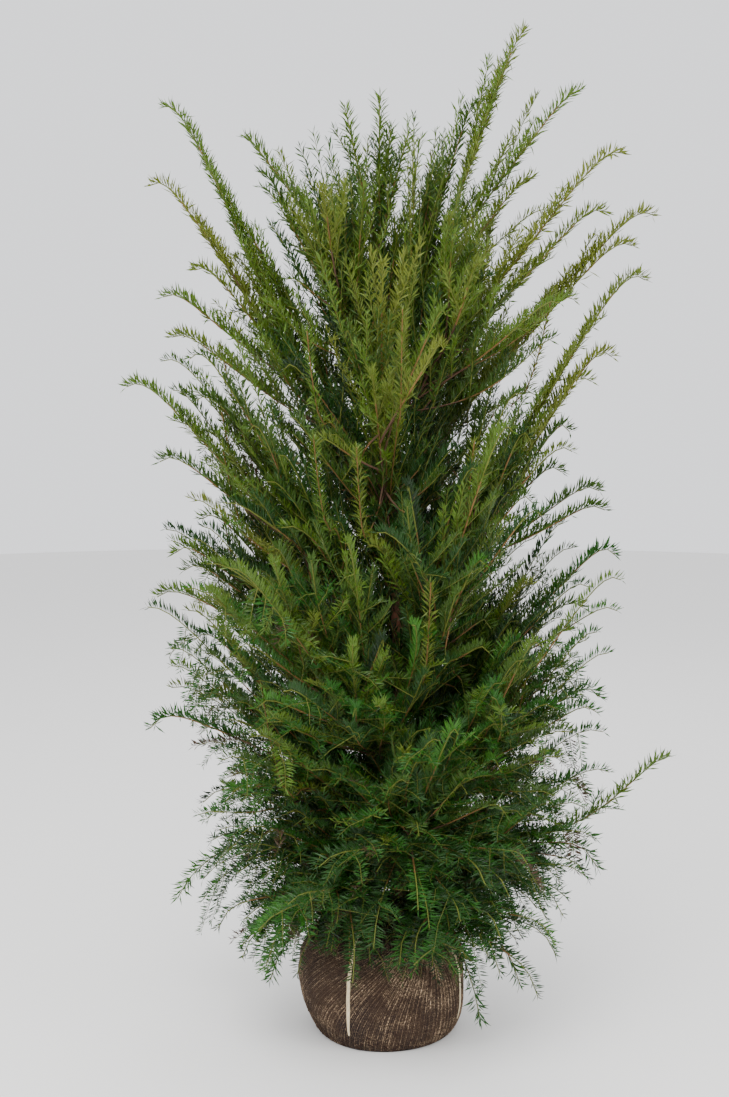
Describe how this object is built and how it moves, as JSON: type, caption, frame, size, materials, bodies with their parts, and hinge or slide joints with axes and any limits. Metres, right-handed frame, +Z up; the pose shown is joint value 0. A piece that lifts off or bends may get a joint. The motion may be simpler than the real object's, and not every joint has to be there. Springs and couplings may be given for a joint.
{
  "type": "english yew",
  "caption": "Young columnar yew with a straight trunk and long needled shoots, standing on a round root ball wrapped in hessian.",
  "frame": {"origin": "middle of the root ball's flat underside, which the plant stands on", "axes": "+Z up along the trunk, -Y towards the side that the picture shows, +X to that viewer's right"},
  "size_m": [1.1638, 0.8966, 2.1193],
  "materials": {
    "wrapped_soil": "matte",
    "hessian": "matte",
    "twine": "matte",
    "bark": "matte",
    "needles": "satin"
  },
  "bodies": {
    "root": {"bough_01_front_right": "bark", "bough_02_back": "bark", "bough_03_front_left": "bark", "bough_04_right": "bark", "bough_05_back_left": "bark", "bough_06_front": "bark", "bough_07_back_right": "bark", "bough_08_left": "bark", "bough_09_front_right": "bark", "bough_10_back": "bark", "bough_11_front_left": "bark", "bough_12_right": "bark", "bough_13_left": "bark", "bough_14_front_right": "bark", "bough_15_back": "bark", "bough_16_front_left": "bark", "bough_17_right": "bark", "bough_18_back_left": "bark", "bough_19_front": "bark", "bough_20_back_right": "bark", "bough_21_left": "bark", "bough_22_front_right": "bark", "bough_23_back": "bark", "bough_24_front_left": "bark", "bough_25_right": "bark", "bough_26_back_left": "bark", "foliage_01_front_right": "needles", "foliage_02_back": "needles", "foliage_03_front_left": "needles", "foliage_04_right": "needles", "foliage_05_back_left": "needles", "foliage_06_front": "needles", "foliage_07_back_right": "needles", "foliage_08_left": "needles", "foliage_09_front_right": "needles", "foliage_10_back": "needles", "foliage_11_front_left": "needles", "foliage_12_right": "needles", "foliage_13_left": "needles", "foliage_14_front_right": "needles", "foliage_15_back": "needles", "foliage_16_front_left": "needles", "foliage_17_right": "needles", "foliage_18_back_left": "needles", "foliage_19_front": "needles", "foliage_20_back_right": "needles", "foliage_21_left": "needles", "foliage_22_front_right": "needles", "foliage_23_back": "needles", "foliage_24_front_left": "needles", "foliage_25_right": "needles", "foliage_26_back_left": "needles", "foliage_leader": "needles", "hessian_collar": "hessian", "root_ball": "wrapped_soil", "tie_back_left": "twine", "tie_back_right": "twine", "tie_front_left": "twine", "tie_front_right": "twine", "trunk": "bark"}
  },
  "joints": []
}
